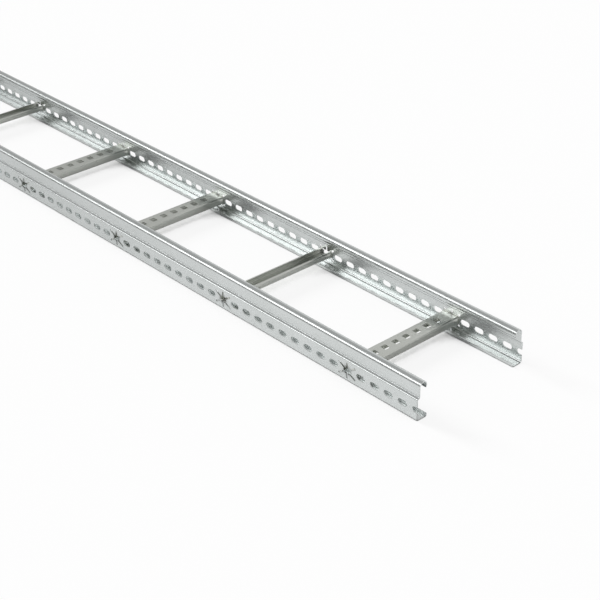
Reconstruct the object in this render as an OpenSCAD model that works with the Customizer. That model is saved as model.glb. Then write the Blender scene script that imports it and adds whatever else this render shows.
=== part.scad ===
// Cable ladder section: two roll-formed side rails with slotted webs, held apart by rungs
// whose flared ends are pressed against a star cut in each web. Most rungs are perforated and
// lie open side down; every third one is a shallower plain channel with its open side up.
// The origin is at the middle of the underside. X runs along the ladder, Z is up.

/* [Ladder] */
// Length of the section
ladder_l = 3000; // [1000:250:6000]
// Width over the outer faces of the two rails
ladder_w = 200; // [150:10:600]
// Distance from rung to rung
rung_pitch = 250; // [200:25:500]
// Least distance from the end of a rail to its first rung
end_dist = 125; // [75:25:250]

/* [Side rail] */
// Height of a side rail
rail_h = 55; // [52:1:80]
// Sheet thickness of a side rail
rail_t = 1.25; // [1:0.05:1.5]
// Width of the bottom flange
flange_w = 18; // [14:0.5:24]
// Height of the upturned lip on the inner edge of the flange
lip_h = 5; // [4:0.5:8]
// Outside radius of the corner between web and flange
corner_r = 3.5; // [2.5:0.5:4.5]
// Outside radius of the small bends, at the flange lip and at the step of the web
bend_r = 2.25; // [2:0.05:2.6]
// Height at which the web starts to step inwards
step_z = 30.5; // [30:0.5:34]
// Distance that the web steps inwards
step_in = 3.7; // [3:0.1:6]
// Slope of the step, measured from the web
step_a = 65; // [50:1:80]
// Outside radius of the rolled top edge
curl_r = 6.5; // [4.5:0.5:8]
// Angle that the rolled top edge turns through
curl_a = 222; // [185:1:250]

/* [Web slots] */
// Distance from slot to slot
slot_pitch = 25; // [22:1:40]
// Length of a slot over its round ends
slot_l = 16; // [12:0.5:17]
// Height of a slot
slot_h = 8.5; // [7:0.5:10]
// Height of the middle of the slots and stars above the underside
slot_z = 16.25; // [15.5:0.25:17]

/* [Star joint] */
// Width of the cuts of a star
star_cut_w = 2.8; // [1.5:0.1:3]
// Reach of the two upright cuts from the middle of the star
star_up_l = 12; // [11:0.5:12.5]
// Reach of the four slanting cuts from the middle of the star
star_side_l = 18; // [14:0.5:18.5]
// Angle of the slanting cuts above and below the level
star_a = 30; // [26:1:35]
// Length of the opening in the middle of a star
star_eye_l = 14; // [10:0.5:16]
// Height of the opening in the middle of a star
star_eye_h = 9; // [6:0.5:10]

/* [Rungs] */
// Height of the top of the rungs above the underside
rung_top_z = 22.3; // [22:0.1:24]
// Sheet thickness of a rung
rung_t = 1.25; // [1:0.05:1.5]
// Outside radius of the long corners of a rung
rung_r = 2.5; // [2:0.1:3]
// Width of a perforated rung
rung_w = 28; // [24:0.5:32]
// Height of a perforated rung
rung_h = 12; // [11:0.5:13]
// Width of a plain channel rung
channel_w = 24; // [21:0.5:28]
// Height of a plain channel rung
channel_h = 9; // [8:0.5:12]
// Width of the lips beside the open side of a rung
rung_lip = 4; // [3.5:0.5:5]
// Distance that the flared ends of a rung stand out beyond its sides
flare_out = 1.2; // [0.5:0.1:2]
// Thickness of the flared ends of a rung
flare_t = 1.5; // [1:0.1:3]

/* [Rung holes] */
// Distance from hole to hole along a rung
hole_pitch = 20; // [16:1:30]
// Size of a hole across the rung
hole_w = 10; // [6:0.5:12]
// Size of a hole along the rung
hole_l = 9; // [6:0.5:10]
// Corner radius of a hole
hole_r = 1; // [0.5:0.1:2]
// Least distance from the middle of the outermost hole to the rung's end
hole_edge = 20; // [10:1:28]

/* [Hidden] */
zinc = [0.77, 0.79, 0.80];
// How far cutters run past the sheet that they cut
over = 1;
// Greatest length of the facets that a bend is drawn with
facet_l = 0.8;
// One rung in three is a plain channel, starting with the second
channel_every = 3;
channel_first = 2;
n_rungs = floor((ladder_l - 2 * end_dist) / rung_pitch) + 1;
first_rung_x = -(n_rungs - 1) * rung_pitch / 2;
rung_l = ladder_w - 2 * rail_t;
n_holes = floor((rung_l - 2 * hole_edge) / hole_pitch) + 1;
// Slots keep this far from a rung's middle, clear of its star
slot_clear = star_side_l * cos(star_a) + slot_l / 2 + rail_t / 2;
// A slot may be cut through by the end of the rail, but not only touched by it
slot_reach = ladder_l / 2 + slot_l / 4;

function rung_x(i) = first_rung_x + (i - 1) * rung_pitch;
function rung_name(i) = str("rung_", i < 10 ? "0" : "", i);
function is_channel(i) = (i - channel_first) % channel_every == 0;
function from_rung(x) = min([for (i = [1 : n_rungs]) abs(x - rung_x(i))]);

// --- Bent sheet. A path is a list of stretches, each a flat length and then a bend:
// [length, angle, outside radius]. Seen along the path, the outer face is on the right, and a
// bend with a positive angle turns left. The last stretch has no bend: its angle is 0.

// The points of the face that lies at this depth below the outer face
function face(path, t, depth, at, heading, i = 0) =
    let (length = path[i][0], turn = path[i][1], r = path[i][2],
        across = [-sin(heading), cos(heading)],
        bend_start = at + length * [cos(heading), sin(heading)],
        arm = turn < 0 ? t - r : r,
        centre = bend_start + arm * across,
        steps = ceil(abs(turn) * PI / 180 * r / facet_l))
    turn == 0 ? [bend_start + depth * across]
    : concat(
        i == 0 && length > 0 ? [at + depth * across] : [],
        [for (k = [0 : steps]) let (a = heading + turn * k / steps)
            centre + (arm - depth) * [sin(a), -cos(a)]],
        face(path, t, depth, centre + arm * [sin(heading + turn), -cos(heading + turn)],
            heading + turn, i + 1));

function backwards(points) = [for (i = [len(points) - 1 : -1 : 0]) points[i]];

module sheet(path, t, at, heading) {
    polygon(concat(face(path, t, 0, at, heading), backwards(face(path, t, t, at, heading))));
}

// --- Side rail, seen along the ladder with its outer face at the left: the rolled edge,
// upper web, step, lower web, corner, flange and lip, drawn from the tip of the rolled edge
module rail_profile() {
    tip_a = 180 - curl_a;
    tip = [step_in + curl_r, rail_h - curl_r] + curl_r * [cos(tip_a), sin(tip_a)];
    turns = 2 * bend_r - rail_t;
    step_flat = (step_in - turns * (1 - cos(step_a))) / sin(step_a);
    step_h = turns * sin(step_a) + step_flat * cos(step_a);
    sheet([
        [0, curl_a, curl_r],
        [rail_h - curl_r - step_z - step_h, -step_a, bend_r],
        [step_flat, step_a, bend_r],
        [step_z - corner_r, 90, corner_r],
        [flange_w - corner_r - bend_r, 90, bend_r],
        [lip_h - bend_r, 0, 0]
    ], rail_t, tip, tip_a + 90);
}

// Obround with its middle at the origin
module slot() {
    half = (slot_l - slot_h) / 2;
    for (side = [-1, 1]) translate([side * half, 0]) circle(d = slot_h, $fn = 48);
    square([2 * half, slot_h], center = true);
}

// A round-ended cut from the origin outwards
module star_cut(reach) {
    straight = reach - star_cut_w / 2;
    translate([0, -star_cut_w / 2]) square([straight, star_cut_w]);
    translate([straight, 0]) circle(d = star_cut_w, $fn = 24);
}

// Six cuts that let the tongues between them be pressed home, and the eye that is left open
module star() {
    for (a = [90, 270]) rotate(a) star_cut(star_up_l);
    for (a = [star_a, 180 - star_a, 180 + star_a, -star_a]) rotate(a) star_cut(star_side_l);
    polygon([for (a = [0 : 60 : 300]) [star_eye_l / 2 * cos(a), star_eye_h / 2 * sin(a) / sin(60)]]);
}

// Everything that is punched out of the web, as an outline on the web
module web_cuts() {
    first = ceil((-slot_reach - first_rung_x) / slot_pitch);
    last = floor((slot_reach - first_rung_x) / slot_pitch);
    for (k = [first : last]) {
        x = first_rung_x + k * slot_pitch;
        if (from_rung(x) > slot_clear) translate([x, slot_z]) slot();
    }
    for (i = [1 : n_rungs]) translate([rung_x(i), slot_z]) star();
}

// The rail on the -Y side, with its outer face at Y = 0
module side_rail() {
    difference() {
        translate([-ladder_l / 2, 0, 0]) rotate([90, 0, 90]) linear_extrude(ladder_l) rail_profile();
        translate([0, rail_t + over, 0]) rotate([90, 0, 0])
            linear_extrude(rail_t + 2 * over) web_cuts();
    }
}

module right_rail() {
    color(zinc) translate([0, -ladder_w / 2, 0]) side_rail();
}

module left_rail() {
    color(zinc) mirror([0, 1, 0]) translate([0, -ladder_w / 2, 0]) side_rail();
}

// --- Rungs. The profile stands on the X axis with its open side up.
module channel_profile(w, h, lip, r, t) {
    sheet([
        [lip - r, 90, r],
        [h - 2 * r, 90, r],
        [w - 2 * r, 90, r],
        [h - 2 * r, 90, r],
        [lip - r, 0, 0]
    ], t, [lip - w / 2, h], 180);
}

// A rung along Y with its open side up, its ends flared outwards against the webs
module channel(w, h) {
    rotate([90, 0, 0]) linear_extrude(rung_l, center = true)
        channel_profile(w, h, rung_lip, rung_r, rung_t);
    for (side = [-1, 1]) translate([0, side * (rung_l - flare_t) / 2, -flare_out])
        rotate([90, 0, 0]) linear_extrude(flare_t, center = true)
        channel_profile(w + 2 * flare_out, h + 2 * flare_out, rung_lip + flare_out,
            rung_r + flare_out, rung_t + flare_out);
}

// Square with rounded corners
module rounded(w, l, r) {
    square([w - 2 * r, l], center = true);
    square([w, l - 2 * r], center = true);
    for (x = [-1, 1], y = [-1, 1]) translate([x * (w / 2 - r), y * (l / 2 - r)])
        circle(r = r, $fn = 24);
}

// A row of holes along the middle of the rung's closed side
module perforated_channel() {
    difference() {
        channel(rung_w, rung_h);
        for (k = [0 : n_holes - 1]) translate([0, (k - (n_holes - 1) / 2) * hole_pitch, -over])
            linear_extrude(rung_t + 2 * over) rounded(hole_w, hole_l, hole_r);
    }
}

module rung(i) {
    color(zinc) translate([rung_x(i), 0, rung_top_z])
        if (is_channel(i)) translate([0, 0, -channel_h]) channel(channel_w, channel_h);
        else mirror([0, 0, 1]) perforated_channel();
}

left_rail();
right_rail();
for (i = [1 : n_rungs]) rung(i);
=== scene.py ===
"""Cable ladder section: the finish of its galvanised rails and rungs, on a pale studio floor.

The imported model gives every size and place. The row frame has X along the ladder, Z up, and its
origin at the middle of the underside. Lengths are in metres.
"""

import functools
import math

import bpy
from mathutils import Matrix, Vector


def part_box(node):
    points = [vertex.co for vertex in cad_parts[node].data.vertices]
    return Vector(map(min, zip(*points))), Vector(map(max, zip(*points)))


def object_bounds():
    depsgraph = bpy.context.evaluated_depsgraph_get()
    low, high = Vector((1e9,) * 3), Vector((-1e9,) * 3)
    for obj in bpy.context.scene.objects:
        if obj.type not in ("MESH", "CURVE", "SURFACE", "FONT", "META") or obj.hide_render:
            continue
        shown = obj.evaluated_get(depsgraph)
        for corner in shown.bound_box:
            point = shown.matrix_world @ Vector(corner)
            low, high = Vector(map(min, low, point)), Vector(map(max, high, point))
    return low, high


bl_info = {
    "name": "Cable Ladder Finish",
    "version": (1, 0, 0),
    "blender": (4, 5, 0),
    "location": "View3D > Sidebar > Cable Ladder",
    "description": "Gives a galvanised cable ladder section its finish, floor, light and camera",
    "category": "Object",
}

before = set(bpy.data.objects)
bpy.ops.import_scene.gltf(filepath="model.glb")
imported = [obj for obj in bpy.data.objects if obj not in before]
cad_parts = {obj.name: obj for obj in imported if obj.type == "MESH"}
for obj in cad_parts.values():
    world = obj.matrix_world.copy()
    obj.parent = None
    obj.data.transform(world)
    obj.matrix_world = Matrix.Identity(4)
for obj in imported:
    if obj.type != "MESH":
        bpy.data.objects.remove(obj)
CAD_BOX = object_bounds()
RAILS = ("left_rail", "right_rail")
RUNGS = sorted(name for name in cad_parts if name.startswith("rung_"))
RAIL_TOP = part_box("left_rail")[1].z
END_RUNG_X = sum(corner.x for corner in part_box(RUNGS[-1])) / 2
RUNG_PITCH = 2 * END_RUNG_X / (len(RUNGS) - 1)
HALF_WIDTH = CAD_BOX[1].y
JOINT_Z = sum(corner.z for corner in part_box(RUNGS[-1])) / 2

# Corners closer than this are one, and a bend's facets meet at less than this angle
SAME_POINT = 2e-6
BEND_LIMIT = math.radians(30)
# Fine streaks to the metre along each axis: few along the strip, many across it
ALONG_X = (2.0, 300.0, 300.0)
ALONG_Y = (300.0, 6.0, 300.0)
# How far noise bends the borders of the zinc crystals
CRYSTAL_BEND = 0.006
# How far each pattern takes the colour from clean to dull zinc
CRYSTAL_TONE = 0.08
PATCH_TONE = 0.35
STREAK_TONE = 0.18
# Clean zinc at its smoothest is smoother than the roughness given, and each pattern adds to it
SMOOTH_SPOTS = 0.03
CRYSTAL_ROUGHNESS = 0.02
STREAK_ROUGHNESS = 0.06
# Roughness added where painted shade or dust specks lie
SHADE_AND_SOIL_ROUGHNESS = 0.35
# Height of a fine streak as a share of a broad wave's
FINE_RELIEF = 0.01
# The floor that the zinc mirrors is painted darker between these distances from the middle line, and
# between these distances back from the near end rung
SIDE_FADE = (0.15, 0.5)
LENGTH_FADE = (0.8, 0.1)
# The floor lies this far under the ladder, so that the two don't share a plane
FLOOR_GAP = 0.0003
# Where a lamp's handle stands, because the light of a distant lamp has no place
LAMP_DISTANCE = 5.0


# --- Sizes and colours that a user would change


class LadderFinish(bpy.types.PropertyGroup):
    """Colours and texture of the zinc"""

    zinc: bpy.props.FloatVectorProperty(
        name="Zinc", description="Colour of clean rolled zinc", subtype="COLOR",
        size=3, min=0.0, max=1.0, default=(0.77, 0.785, 0.785))
    dull_zinc: bpy.props.FloatVectorProperty(
        name="Dull zinc", description="Colour of zinc that has begun to weather", subtype="COLOR",
        size=3, min=0.0, max=1.0, default=(0.69, 0.71, 0.7))
    rough: bpy.props.FloatProperty(
        name="Roughness", description="Roughness of clean zinc", subtype="FACTOR",
        min=0.0, max=1.0, default=0.25)
    spangle: bpy.props.FloatProperty(
        name="Spangle", description="Size of a zinc crystal", unit="LENGTH",
        min=0.001, max=0.05, default=0.007)
    rail_tint: bpy.props.FloatVectorProperty(
        name="Rail tint", description="Cast of the rails' zinc", subtype="COLOR",
        size=3, min=0.0, max=1.0, default=(0.985, 1.0, 0.995))
    rung_tint: bpy.props.FloatVectorProperty(
        name="Rung tint", description="Cast of the rungs' duller zinc", subtype="COLOR",
        size=3, min=0.0, max=1.0, default=(0.95, 0.955, 0.9))
    rung_dullness: bpy.props.FloatProperty(
        name="Rung dullness", description="Roughness that the rungs have beyond the rails",
        min=0.0, max=1.0, default=0.05)
    edge: bpy.props.FloatProperty(
        name="Edge", description="Width of the dull band along a cut edge", unit="LENGTH",
        min=0.0, max=0.005, default=0.0005)
    cut_steel: bpy.props.FloatVectorProperty(
        name="Cut steel", description="Colour of a sheared edge", subtype="COLOR",
        size=3, min=0.0, max=1.0, default=(0.4, 0.4, 0.39))
    # Painted shade: this colour darkens corners, recesses and the joints, and also colours faint
    # dust specks
    shade_and_grime: bpy.props.FloatVectorProperty(
        name="Shade and specks", description="Colour of the painted shade in corners", subtype="COLOR",
        size=3, min=0.0, max=1.0, default=(0.1, 0.097, 0.09))
    # Cover of the painted corner shade and the dust specks, and how far the painted shade reaches
    # out of a corner
    shade_and_grime_amount: bpy.props.FloatProperty(
        name="Grime amount", description="Cover of the painted shade where it is thickest",
        subtype="FACTOR", min=0.0, max=1.0, default=0.3)
    shade_and_grime_reach: bpy.props.FloatProperty(
        name="Grime reach", description="How far out of a corner the painted shade reaches",
        unit="LENGTH", min=0.0, max=0.05, default=0.005)
    # Cover and reach of the painted shade round each joint
    joint_shade: bpy.props.FloatProperty(
        name="Joint shade", description="Cover of the dark smut round each joint",
        subtype="FACTOR", min=0.0, max=1.0, default=0.9)
    joint_shade_reach: bpy.props.FloatProperty(
        name="Smut reach", description="How far from a joint's middle the smut reaches",
        unit="LENGTH", min=0.001, max=0.05, default=0.011)
    waviness: bpy.props.FloatProperty(
        name="Waviness", description="Depth of the waves that rolling leaves in the strip",
        unit="LENGTH", min=0.0, max=0.002, default=0.00003)


class LadderStudio(bpy.types.PropertyGroup):
    """Floor, lamps and camera"""

    floor: bpy.props.FloatVectorProperty(
        name="Floor", description="Colour of the floor", subtype="COLOR",
        size=3, min=0.0, max=1.0, default=(0.85, 0.85, 0.85))
    # Painted shade: the floor that the zinc mirrors takes this darker colour away from the ladder's
    # sides
    shaded_far_floor: bpy.props.FloatVectorProperty(
        name="Far floor", description="Colour of the floor away from the ladder",
        subtype="COLOR", size=3, min=0.0, max=1.0, default=(0.3, 0.3, 0.3))
    whiteness: bpy.props.FloatProperty(
        name="Whiteness", description="Share of plain white in the floor that the camera sees",
        subtype="FACTOR", min=0.0, max=1.0, default=0.88)
    # Painted shade on the mirrored floor away from the ladder's near end
    end_floor_shade: bpy.props.FloatProperty(
        name="End fade", description="How much duller the floor is away from the near end",
        subtype="FACTOR", min=0.0, max=1.0, default=0.22)
    floor_size: bpy.props.FloatProperty(
        name="Floor size", description="Side of the square floor", unit="LENGTH",
        min=10.0, default=120.0)
    room: bpy.props.FloatProperty(
        name="Room light", description="Strength of the even light from all round",
        min=0.0, default=0.42)
    wall: bpy.props.FloatProperty(
        name="Wall light", description="Strength of the pale wall beyond the ladder",
        min=0.0, default=0.82)
    key: bpy.props.FloatProperty(
        name="Key light", description="Strength of the soft lamp that the zinc mirrors",
        min=0.0, default=0.32)
    side: bpy.props.FloatProperty(
        name="Side light", description="Strength of the lamp that lights only the floor",
        min=0.0, default=3.75)
    azimuth: bpy.props.FloatProperty(
        name="Azimuth", description="Heading of the camera, from +Y towards -X", subtype="ANGLE",
        default=math.radians(47.831))
    elevation: bpy.props.FloatProperty(
        name="Elevation", description="Height of the camera above the level", subtype="ANGLE",
        default=math.radians(30.322))
    roll: bpy.props.FloatProperty(
        name="Roll", description="Tilt of the camera about its own axis", subtype="ANGLE",
        default=math.radians(-0.392))
    lens: bpy.props.FloatProperty(
        name="Lens", description="Focal length in millimetres on a 36 mm sensor",
        min=10.0, default=90.1)
    place: bpy.props.FloatVectorProperty(
        name="Camera place", description="Place of the camera from the foot of the last rung",
        subtype="TRANSLATION", unit="LENGTH", size=3, default=(1.168, -1.239, 1.076))


# --- Node helpers


def add_node(tree, kind, **settings):
    """A node of this kind with these properties of its own."""
    node = tree.nodes.new(kind)
    for name, value in settings.items():
        setattr(node, name, value)
    return node


def set_inputs(node, **values):
    """Sets constants on the inputs that these names stand for, such as from_min for From Min."""
    for name, value in values.items():
        node.inputs[name.replace("_", " ").title()].default_value = value
    return node


def new_group(name, inputs, outputs):
    """An empty shader group with these named sockets, its input node and its output node."""
    group = bpy.data.node_groups.new(name, "ShaderNodeTree")
    for label, kind in inputs.items():
        group.interface.new_socket(label, in_out="INPUT", socket_type=kind)
    for label, kind in outputs.items():
        group.interface.new_socket(label, in_out="OUTPUT", socket_type=kind)
    return group, group.nodes.new("NodeGroupInput"), group.nodes.new("NodeGroupOutput")


def add_group(tree, group, vector=None, **values):
    """Places a shader group in a material, with its own values."""
    node = tree.nodes.new("ShaderNodeGroup")
    node.node_tree = group
    if vector:
        tree.links.new(vector, node.inputs["Vector"])
    return set_inputs(node, **values)


def add_math(tree, operation, *operands, clamp=False):
    """The result of a Math node. Each operand is a socket or a number."""
    node = tree.nodes.new("ShaderNodeMath")
    node.operation = operation
    node.use_clamp = clamp
    for place, operand in enumerate(operands):
        if isinstance(operand, bpy.types.NodeSocket):
            tree.links.new(operand, node.inputs[place])
        else:
            node.inputs[place].default_value = operand
    return node.outputs[0]


def add_range(tree, value, low, high, start=0.0, end=1.0):
    """Eases from start to end while the value goes from low to high."""
    node = tree.nodes.new("ShaderNodeMapRange")
    node.interpolation_type = "SMOOTHSTEP"
    set_inputs(node, from_min=low, from_max=high, to_min=start, to_max=end)
    tree.links.new(value, node.inputs["Value"])
    return node.outputs["Result"]


def mix_colours(tree, factor, a, b):
    """Mixes two colours, each a socket or a triple, by a factor socket.

    A Mix node has sockets of each kind under one name, and its colours are inputs 6 and 7 and
    output 2.
    """
    node = tree.nodes.new("ShaderNodeMix")
    node.data_type = "RGBA"
    tree.links.new(factor, node.inputs["Factor"])
    for socket, colour in ((node.inputs[6], a), (node.inputs[7], b)):
        if isinstance(colour, bpy.types.NodeSocket):
            tree.links.new(colour, socket)
        else:
            socket.default_value = (*colour, 1.0)
    return node.outputs[2]


def new_material(name):
    """A new material, its tree, and the output node that is all the tree holds."""
    material = bpy.data.materials.new(name)
    material.use_nodes = True
    tree = material.node_tree
    tree.nodes.clear()
    return material, tree, tree.nodes.new("ShaderNodeOutputMaterial")


# --- Finish of the CAD nodes


@functools.cache
def bend_smoother():
    """A node group that joins the facets of a bend and leaves every sharper edge crisp.

    Doubles are merged, imported corner normals are dropped, and an edge is smooth where its two
    faces meet at less than the limit.
    """
    group = bpy.data.node_groups.new("smooth_bends", "GeometryNodeTree")
    group.is_modifier = True
    group.interface.new_socket("Geometry", in_out="INPUT", socket_type="NodeSocketGeometry")
    group.interface.new_socket("Geometry", in_out="OUTPUT", socket_type="NodeSocketGeometry")
    nodes, links = group.nodes, group.links
    start, end = nodes.new("NodeGroupInput"), nodes.new("NodeGroupOutput")
    merge = nodes.new("GeometryNodeMergeByDistance")
    merge.inputs["Distance"].default_value = SAME_POINT
    drop = nodes.new("GeometryNodeRemoveAttribute")
    drop.inputs["Name"].default_value = "custom_normal"
    angle = nodes.new("GeometryNodeInputMeshEdgeAngle")
    below = nodes.new("FunctionNodeCompare")
    below.operation = "LESS_THAN"
    below.inputs["B"].default_value = BEND_LIMIT
    faces = nodes.new("GeometryNodeSetShadeSmooth")
    faces.domain = "FACE"
    edges = nodes.new("GeometryNodeSetShadeSmooth")
    edges.domain = "EDGE"
    links.new(start.outputs[0], merge.inputs["Geometry"])
    links.new(merge.outputs["Geometry"], drop.inputs["Geometry"])
    links.new(drop.outputs["Geometry"], faces.inputs["Geometry"])
    links.new(faces.outputs["Geometry"], edges.inputs["Geometry"])
    links.new(angle.outputs["Unsigned Angle"], below.inputs["A"])
    links.new(below.outputs["Result"], edges.inputs["Shade Smooth"])
    links.new(edges.outputs["Geometry"], end.inputs[0])
    return group


def smooth_bends(piece):
    """Shades the bends of a CAD node as round, and its flats as flat."""
    piece.modifiers.new("smooth_bends", "NODES").node_group = bend_smoother()
    weigh = piece.modifiers.new("flat_faces", "WEIGHTED_NORMAL")
    weigh.keep_sharp = True
    weigh.weight = 100


@functools.cache
def spangle_group():
    """Zinc crystals: cells of one tone each, gathered in paler and duller patches."""
    group, start, end = new_group(
        "zinc_spangle",
        {"Vector": "NodeSocketVector", "Crystal Size": "NodeSocketFloat"},
        {"Tone": "NodeSocketFloat", "Patch": "NodeSocketFloat"})
    links = group.links
    fineness = add_math(group, "DIVIDE", 1.0, start.outputs["Crystal Size"])
    bend = set_inputs(add_node(group, "ShaderNodeTexNoise"), detail=1.0, roughness=0.5)
    links.new(start.outputs["Vector"], bend.inputs["Vector"])
    links.new(fineness, bend.inputs["Scale"])
    shift = add_node(group, "ShaderNodeVectorMath", operation="MULTIPLY_ADD")
    shift.inputs[1].default_value = (CRYSTAL_BEND,) * 3
    links.new(bend.outputs["Color"], shift.inputs[0])
    links.new(start.outputs["Vector"], shift.inputs[2])
    cells = add_node(group, "ShaderNodeTexVoronoi")
    links.new(shift.outputs[0], cells.inputs["Vector"])
    links.new(fineness, cells.inputs["Scale"])
    parts = add_node(group, "ShaderNodeSeparateColor")
    links.new(cells.outputs["Color"], parts.inputs["Color"])
    links.new(parts.outputs["Red"], end.inputs["Tone"])
    cloud = set_inputs(add_node(group, "ShaderNodeTexNoise"), scale=14.0, detail=4.0, roughness=0.6)
    links.new(start.outputs["Vector"], cloud.inputs["Vector"])
    links.new(add_range(group, cloud.outputs["Fac"], low=0.35, high=0.65), end.inputs["Patch"])
    return group


@functools.cache
def streak_group():
    """Rolling lines: noise drawn out along the way the strip was rolled, fine ones on broad ones."""
    group, start, end = new_group(
        "rolled_streaks",
        {"Vector": "NodeSocketVector", "Stretch": "NodeSocketVector"},
        {"Fine": "NodeSocketFloat", "Broad": "NodeSocketFloat"})
    for label, scale, detail in (("Fine", 1.0, 3.0), ("Broad", 0.12, 1.0)):
        drawn = add_node(group, "ShaderNodeVectorMath", operation="MULTIPLY")
        group.links.new(start.outputs["Vector"], drawn.inputs[0])
        group.links.new(start.outputs["Stretch"], drawn.inputs[1])
        lines = set_inputs(add_node(group, "ShaderNodeTexNoise"), scale=scale, detail=detail)
        group.links.new(drawn.outputs[0], lines.inputs["Vector"])
        streak = add_range(group, lines.outputs["Fac"], low=0.3, high=0.7)
        group.links.new(streak, end.inputs[label])
    return group


@functools.cache
def edge_wear_group():
    """Cut and handled edges: where the surface turns within the width, broken up by noise."""
    group, start, end = new_group(
        "edge_wear",
        {"Vector": "NodeSocketVector", "Width": "NodeSocketFloat"},
        {"Mask": "NodeSocketFloat"})
    links = group.links
    rounded = add_node(group, "ShaderNodeBevel", samples=6)
    links.new(start.outputs["Width"], rounded.inputs["Radius"])
    face = add_node(group, "ShaderNodeNewGeometry")
    align = add_node(group, "ShaderNodeVectorMath", operation="DOT_PRODUCT")
    links.new(rounded.outputs["Normal"], align.inputs[0])
    links.new(face.outputs["Normal"], align.inputs[1])
    edge = add_range(group, align.outputs["Value"], low=0.97, high=0.8)
    specks = set_inputs(add_node(group, "ShaderNodeTexNoise"), scale=260.0, detail=3.0)
    links.new(start.outputs["Vector"], specks.inputs["Vector"])
    broken = add_range(group, specks.outputs["Fac"], low=0.3, high=0.6, start=0.35)
    links.new(add_math(group, "MULTIPLY", edge, broken), end.inputs["Mask"])
    return group


@functools.cache
def corner_shade_and_grime_group():
    """Painted shade in corners and cuts, where the surface is closed in, and faint dust specks on
    the open faces.
    """
    group, start, end = new_group(
        "corner_shade_and_grime",
        {"Vector": "NodeSocketVector", "Reach": "NodeSocketFloat"},
        {"Mask": "NodeSocketFloat"})
    links = group.links
    corner = add_node(group, "ShaderNodeAmbientOcclusion", samples=6)
    links.new(start.outputs["Reach"], corner.inputs["Distance"])
    # Painted shade: darker the more closed in the ambient occlusion finds the surface
    deep = add_range(group, corner.outputs["AO"], low=0.75, high=0.2)
    blots = set_inputs(add_node(group, "ShaderNodeTexNoise"), scale=70.0, detail=5.0, roughness=0.65)
    links.new(start.outputs["Vector"], blots.inputs["Vector"])
    uneven = add_range(group, blots.outputs["Fac"], low=0.3, high=0.65, start=0.4)
    specks = add_range(group, blots.outputs["Fac"], low=0.68, high=0.76, end=0.35)
    shade_and_dirt = add_math(group, "MULTIPLY", deep, uneven)
    links.new(add_math(group, "MAXIMUM", shade_and_dirt, specks), end.inputs["Mask"])
    return group


@functools.cache
def joint_shade_group():
    """Painted shade round each joint, about points spaced by the pitch along X.

    The points are half a pitch from the origin and on from there, at this height, on both sides.
    """
    group, start, end = new_group(
        "painted_joint_shade",
        {"Vector": "NodeSocketVector", "Pitch": "NodeSocketFloat", "Height": "NodeSocketFloat",
         "Side": "NodeSocketFloat", "Reach": "NodeSocketFloat"},
        {"Mask": "NodeSocketFloat"})
    links = group.links
    axes = add_node(group, "ShaderNodeSeparateXYZ")
    links.new(start.outputs["Vector"], axes.inputs[0])
    half = add_math(group, "MULTIPLY", start.outputs["Pitch"], 0.5)
    along = add_math(group, "PINGPONG", add_math(group, "ADD", axes.outputs["X"], half), half)
    up = add_math(group, "SUBTRACT", axes.outputs["Z"], start.outputs["Height"])
    across = add_math(group, "ABSOLUTE", axes.outputs["Y"])
    inward = add_math(group, "SUBTRACT", start.outputs["Side"], across)
    off = add_node(group, "ShaderNodeCombineXYZ")
    links.new(along, off.inputs["X"])
    links.new(inward, off.inputs["Y"])
    links.new(up, off.inputs["Z"])
    length = add_node(group, "ShaderNodeVectorMath", operation="LENGTH")
    links.new(off.outputs[0], length.inputs[0])
    share = add_math(group, "DIVIDE", length.outputs["Value"], start.outputs["Reach"])
    # Painted shade: darkest at each joint's middle, fading out to the reach
    ring = add_range(group, share, low=1.0, high=0.25)
    joint_shade_mark = set_inputs(add_node(group, "ShaderNodeTexNoise"), scale=330.0, detail=3.0)
    links.new(start.outputs["Vector"], joint_shade_mark.inputs["Vector"])
    uneven = add_range(group, joint_shade_mark.outputs["Fac"], low=0.35, high=0.6, start=0.15)
    links.new(add_math(group, "MULTIPLY", ring, uneven), end.inputs["Mask"])
    return group


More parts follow.
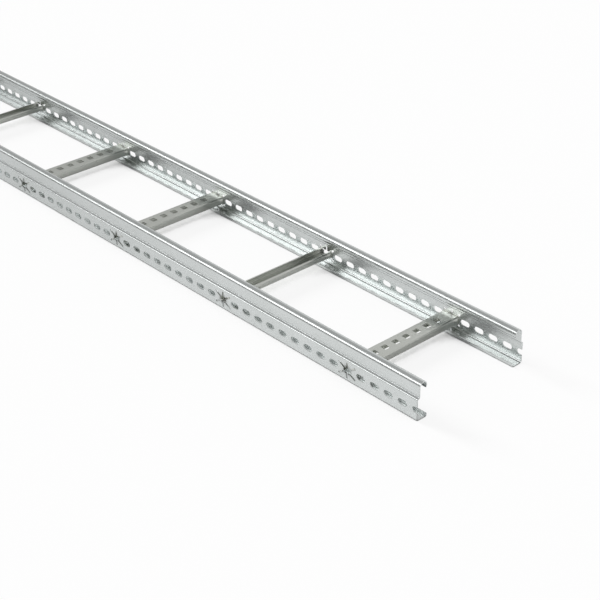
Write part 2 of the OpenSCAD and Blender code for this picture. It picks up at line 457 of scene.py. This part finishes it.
def zinc_material(name, finish, tint, stretch, dullness):
    """Galvanised strip: spangle, rolling lines along it, dull cut edges, dust specks, and painted
    shade in corners and round each joint.

    The tint multiplies the zinc colours, the stretch is the streaks' fineness along each axis, and
    the dullness adds to the roughness.
    """
    material, tree, out = new_material(name)
    links = tree.links
    place = add_node(tree, "ShaderNodeTexCoord").outputs["Object"]
    spangle = add_group(tree, spangle_group(), place, crystal_size=finish.spangle)
    streaks = add_group(tree, streak_group(), place, stretch=stretch)
    wear = add_group(tree, edge_wear_group(), place, width=finish.edge)
    # Painted shade in corners, with dust specks on the open faces
    shade_and_grime = add_group(tree, corner_shade_and_grime_group(), place, reach=finish.shade_and_grime_reach)
    # Painted shade round each joint
    joint_shade = add_group(tree, joint_shade_group(), place, pitch=RUNG_PITCH, height=JOINT_Z,
                     side=HALF_WIDTH, reach=finish.joint_shade_reach)

    clean = [a * b for a, b in zip(finish.zinc, tint)]
    dull = [a * b for a, b in zip(finish.dull_zinc, tint)]
    tones = add_math(tree, "MULTIPLY", spangle.outputs["Tone"], CRYSTAL_TONE)
    tones = add_math(tree, "MULTIPLY_ADD", spangle.outputs["Patch"], PATCH_TONE, tones)
    tones = add_math(tree, "MULTIPLY_ADD", streaks.outputs["Fine"], STREAK_TONE, tones, clamp=True)
    colour = mix_colours(tree, tones, clean, dull)
    colour = mix_colours(tree, wear.outputs["Mask"], colour, finish.cut_steel)
    # Painted shade in corners, with dust specks
    shade_and_dirt = add_math(tree, "MULTIPLY", shade_and_grime.outputs["Mask"], finish.shade_and_grime_amount)
    # Painted shade round each joint
    joint_shade_mark = add_math(tree, "MULTIPLY", joint_shade.outputs["Mask"], finish.joint_shade)
    # The stronger of the painted shades darkens the colour and roughens the zinc
    shade_and_soil = add_math(tree, "MAXIMUM", shade_and_dirt, joint_shade_mark)
    colour = mix_colours(tree, shade_and_soil, colour, finish.shade_and_grime)

    smoothest = finish.rough + dullness - SMOOTH_SPOTS
    roughness = add_math(
        tree, "MULTIPLY_ADD", spangle.outputs["Tone"], CRYSTAL_ROUGHNESS, smoothest)
    roughness = add_math(
        tree, "MULTIPLY_ADD", streaks.outputs["Fine"], STREAK_ROUGHNESS, roughness)
    roughness = add_math(tree, "MULTIPLY_ADD", shade_and_soil, SHADE_AND_SOIL_ROUGHNESS, roughness, clamp=True)

    relief = add_math(
        tree, "MULTIPLY_ADD", streaks.outputs["Fine"], FINE_RELIEF, streaks.outputs["Broad"])
    bump = set_inputs(add_node(tree, "ShaderNodeBump"), strength=1.0, distance=finish.waviness)
    links.new(relief, bump.inputs["Height"])

    shader = set_inputs(add_node(tree, "ShaderNodeBsdfPrincipled"), metallic=1.0)
    links.new(colour, shader.inputs["Base Color"])
    links.new(roughness, shader.inputs["Roughness"])
    links.new(bump.outputs["Normal"], shader.inputs["Normal"])
    links.new(shader.outputs[0], out.inputs["Surface"])
    return material


def dress(piece, material):
    """Gives a CAD node this one material, and smooths its bends."""
    piece.data.materials.clear()
    piece.data.materials.append(material)
    smooth_bends(piece)


# --- Floor, lamps and camera


def floor_material(studio):
    """Pale floor: nearly white to the camera, with a share of the real shading for its shadow.

    Close under the ladder the camera sees the real shading. What the zinc mirrors has painted shade:
    the floor is darker away from the ladder's sides and a little darker away from its near end, as a
    room's light falls off.
    """
    material, tree, out = new_material("floor_paint")
    place = add_node(tree, "ShaderNodeTexCoord")
    axes = add_node(tree, "ShaderNodeSeparateXYZ")
    tree.links.new(place.outputs["Object"], axes.inputs[0])
    across = add_math(tree, "ABSOLUTE", axes.outputs["Y"])
    away = add_range(tree, across, *SIDE_FADE)
    far, near = (END_RUNG_X - back for back in LENGTH_FADE)
    behind = add_range(
        tree, axes.outputs["X"], low=far, high=near, start=studio.end_floor_shade, end=0.0)
    seen = add_node(tree, "ShaderNodeLightPath")
    # Painted shade on the floor, seen only in what the zinc mirrors
    duller = add_math(tree, "MAXIMUM", away, behind)
    duller = add_math(tree, "MULTIPLY", duller, seen.outputs["Is Glossy Ray"])
    paint = add_node(tree, "ShaderNodeBsdfDiffuse")
    tree.links.new(mix_colours(tree, duller, studio.floor, studio.shaded_far_floor), paint.inputs["Color"])
    white = set_inputs(add_node(tree, "ShaderNodeEmission"), strength=1.0)
    cover = set_inputs(
        add_node(tree, "ShaderNodeAmbientOcclusion", samples=8), distance=RAIL_TOP)
    share = add_node(tree, "ShaderNodeMixShader")
    open_floor = add_range(tree, cover.outputs["AO"], low=0.3, high=0.6, end=studio.whiteness)
    tree.links.new(open_floor, share.inputs[0])
    pick = add_node(tree, "ShaderNodeMixShader")
    tree.links.new(paint.outputs[0], share.inputs[1])
    tree.links.new(white.outputs[0], share.inputs[2])
    tree.links.new(seen.outputs["Is Camera Ray"], pick.inputs[0])
    tree.links.new(paint.outputs[0], pick.inputs[1])
    tree.links.new(share.outputs[0], pick.inputs[2])
    tree.links.new(pick.outputs[0], out.inputs["Surface"])
    return material


def build_world(studio):
    """A dim room with a pale wall beyond the ladder. The camera sees all of it as white.

    Its light depends on the direction, a unit vector: it rises towards the wall, on +Y, and is
    less near the floor on every other side.
    """
    world = bpy.data.worlds.new("studio_room")
    world.use_nodes = True
    tree = world.node_tree
    tree.nodes.clear()
    look = add_node(tree, "ShaderNodeTexCoord")
    axes = add_node(tree, "ShaderNodeSeparateXYZ")
    tree.links.new(look.outputs["Generated"], axes.inputs[0])
    wall = add_range(
        tree, axes.outputs["Y"], low=0.3, high=0.85, start=studio.room, end=studio.wall)
    low = add_range(tree, axes.outputs["Z"], low=0.05, high=0.35, start=0.25)
    beyond = add_range(tree, axes.outputs["Y"], low=-0.1, high=0.3)
    glow = add_math(tree, "MULTIPLY", wall, add_math(tree, "MAXIMUM", low, beyond))
    seen = add_node(tree, "ShaderNodeLightPath")
    pick = add_node(tree, "ShaderNodeMix")
    pick.inputs["B"].default_value = 1.0
    tree.links.new(seen.outputs["Is Camera Ray"], pick.inputs["Factor"])
    tree.links.new(glow, pick.inputs["A"])
    room = set_inputs(add_node(tree, "ShaderNodeBackground"), color=(1.0, 1.0, 1.0, 1.0))
    tree.links.new(pick.outputs[0], room.inputs["Strength"])
    out = add_node(tree, "ShaderNodeOutputWorld")
    tree.links.new(room.outputs[0], out.inputs["Surface"])
    bpy.context.scene.world = world


def direction(azimuth, elevation):
    """Unit vector towards a place at this azimuth (0 is -Y, 90 is +X) and elevation, in degrees."""
    a, e = math.radians(azimuth), math.radians(elevation)
    return Vector((math.sin(a) * math.cos(e), -math.cos(a) * math.cos(e), math.sin(e)))


def add_lamp(name, azimuth, elevation, strength, spread, mirrored=True):
    """A distant soft lamp. Its azimuth, elevation and spread in the sky are in degrees.

    Zinc shows only what it mirrors, so a lamp that isn't mirrored lights only the floor.
    """
    lamp = bpy.data.lights.new(name, "SUN")
    lamp.energy = strength
    lamp.angle = math.radians(spread)
    holder = bpy.data.objects.new(name, lamp)
    holder.rotation_mode = "QUATERNION"
    towards = direction(azimuth, elevation)
    holder.rotation_quaternion = towards.to_track_quat("Z", "Y")
    holder.location = towards * LAMP_DISTANCE
    holder.visible_glossy = mirrored
    bpy.context.scene.collection.objects.link(holder)


def aim_camera(studio):
    """Looks along the ladder from the right and above, at the heading, height and roll given."""
    camera = bpy.data.objects.new("camera", bpy.data.cameras.new("camera"))
    bpy.context.scene.collection.objects.link(camera)
    camera.data.lens = studio.lens
    back = direction(math.degrees(studio.azimuth), math.degrees(studio.elevation))
    turn = back.to_track_quat("Z", "Y").to_matrix().to_4x4() @ Matrix.Rotation(studio.roll, 4, "Z")
    place = Vector((END_RUNG_X, 0.0, 0.0)) + Vector(studio.place)
    camera.matrix_world = Matrix.Translation(place) @ turn
    bpy.context.scene.camera = camera


# --- Operators, one for each group of pieces and one for the stage


class LADDER_OT_studio(bpy.types.Operator):
    """Builds the floor, the lamps, the room and the camera"""

    bl_idname = "ladder.studio"
    bl_label = "Build studio"

    def execute(self, context):
        studio = context.scene.ladder_studio
        half = studio.floor_size / 2
        mesh = bpy.data.meshes.new("floor")
        mesh.from_pydata([(-half, -half, 0), (half, -half, 0), (half, half, 0), (-half, half, 0)],
                         [], [(0, 1, 2, 3)])
        mesh.materials.append(floor_material(studio))
        floor = bpy.data.objects.new("floor", mesh)
        floor.location.z = -FLOOR_GAP
        context.scene.collection.objects.link(floor)
        build_world(studio)
        add_lamp("key_lamp", azimuth=-45.5, elevation=26, strength=studio.key, spread=24)
        add_lamp("side_lamp", azimuth=-80, elevation=26, strength=studio.side, spread=20,
                 mirrored=False)
        aim_camera(studio)
        context.scene.view_settings.view_transform = "Standard"
        return {"FINISHED"}


class LADDER_OT_rails(bpy.types.Operator):
    """Finishes the two side rails"""

    bl_idname = "ladder.rails"
    bl_label = "Finish rails"

    def execute(self, context):
        finish = context.scene.ladder_finish
        material = zinc_material("rail_zinc", finish, finish.rail_tint, ALONG_X, 0.0)
        for name in RAILS:
            dress(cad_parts[name], material)
        return {"FINISHED"}


class LADDER_OT_rungs(bpy.types.Operator):
    """Finishes the rungs"""

    bl_idname = "ladder.rungs"
    bl_label = "Finish rungs"

    def execute(self, context):
        finish = context.scene.ladder_finish
        material = zinc_material(
            "rung_zinc", finish, finish.rung_tint, ALONG_Y, finish.rung_dullness)
        for name in RUNGS:
            dress(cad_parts[name], material)
        return {"FINISHED"}


class LADDER_PT_panel(bpy.types.Panel):
    """Lists the steps and their sizes"""

    bl_idname = "LADDER_PT_panel"
    bl_label = "Cable Ladder"
    bl_space_type = "VIEW_3D"
    bl_region_type = "UI"
    bl_category = "Cable Ladder"

    def draw(self, context):
        for settings in (context.scene.ladder_finish, context.scene.ladder_studio):
            for name in settings.__annotations__:
                self.layout.prop(settings, name)
        for step in STEPS:
            self.layout.operator(step.bl_idname)


GROUPS = {"ladder_finish": LadderFinish, "ladder_studio": LadderStudio}
STEPS = (LADDER_OT_studio, LADDER_OT_rails, LADDER_OT_rungs)
CLASSES = (*GROUPS.values(), *STEPS, LADDER_PT_panel)


def register():
    """Adds the classes and the settings of the scene."""
    for cls in CLASSES:
        bpy.utils.register_class(cls)
    for name, group in GROUPS.items():
        setattr(bpy.types.Scene, name, bpy.props.PointerProperty(type=group))


def unregister():
    """Takes the settings and the classes away again."""
    for name in GROUPS:
        delattr(bpy.types.Scene, name)
    for cls in reversed(CLASSES):
        bpy.utils.unregister_class(cls)


def main():
    """Runs every step."""
    register()
    bpy.ops.ladder.studio()
    bpy.ops.ladder.rails()
    bpy.ops.ladder.rungs()


if __name__ == "__main__":
    main()
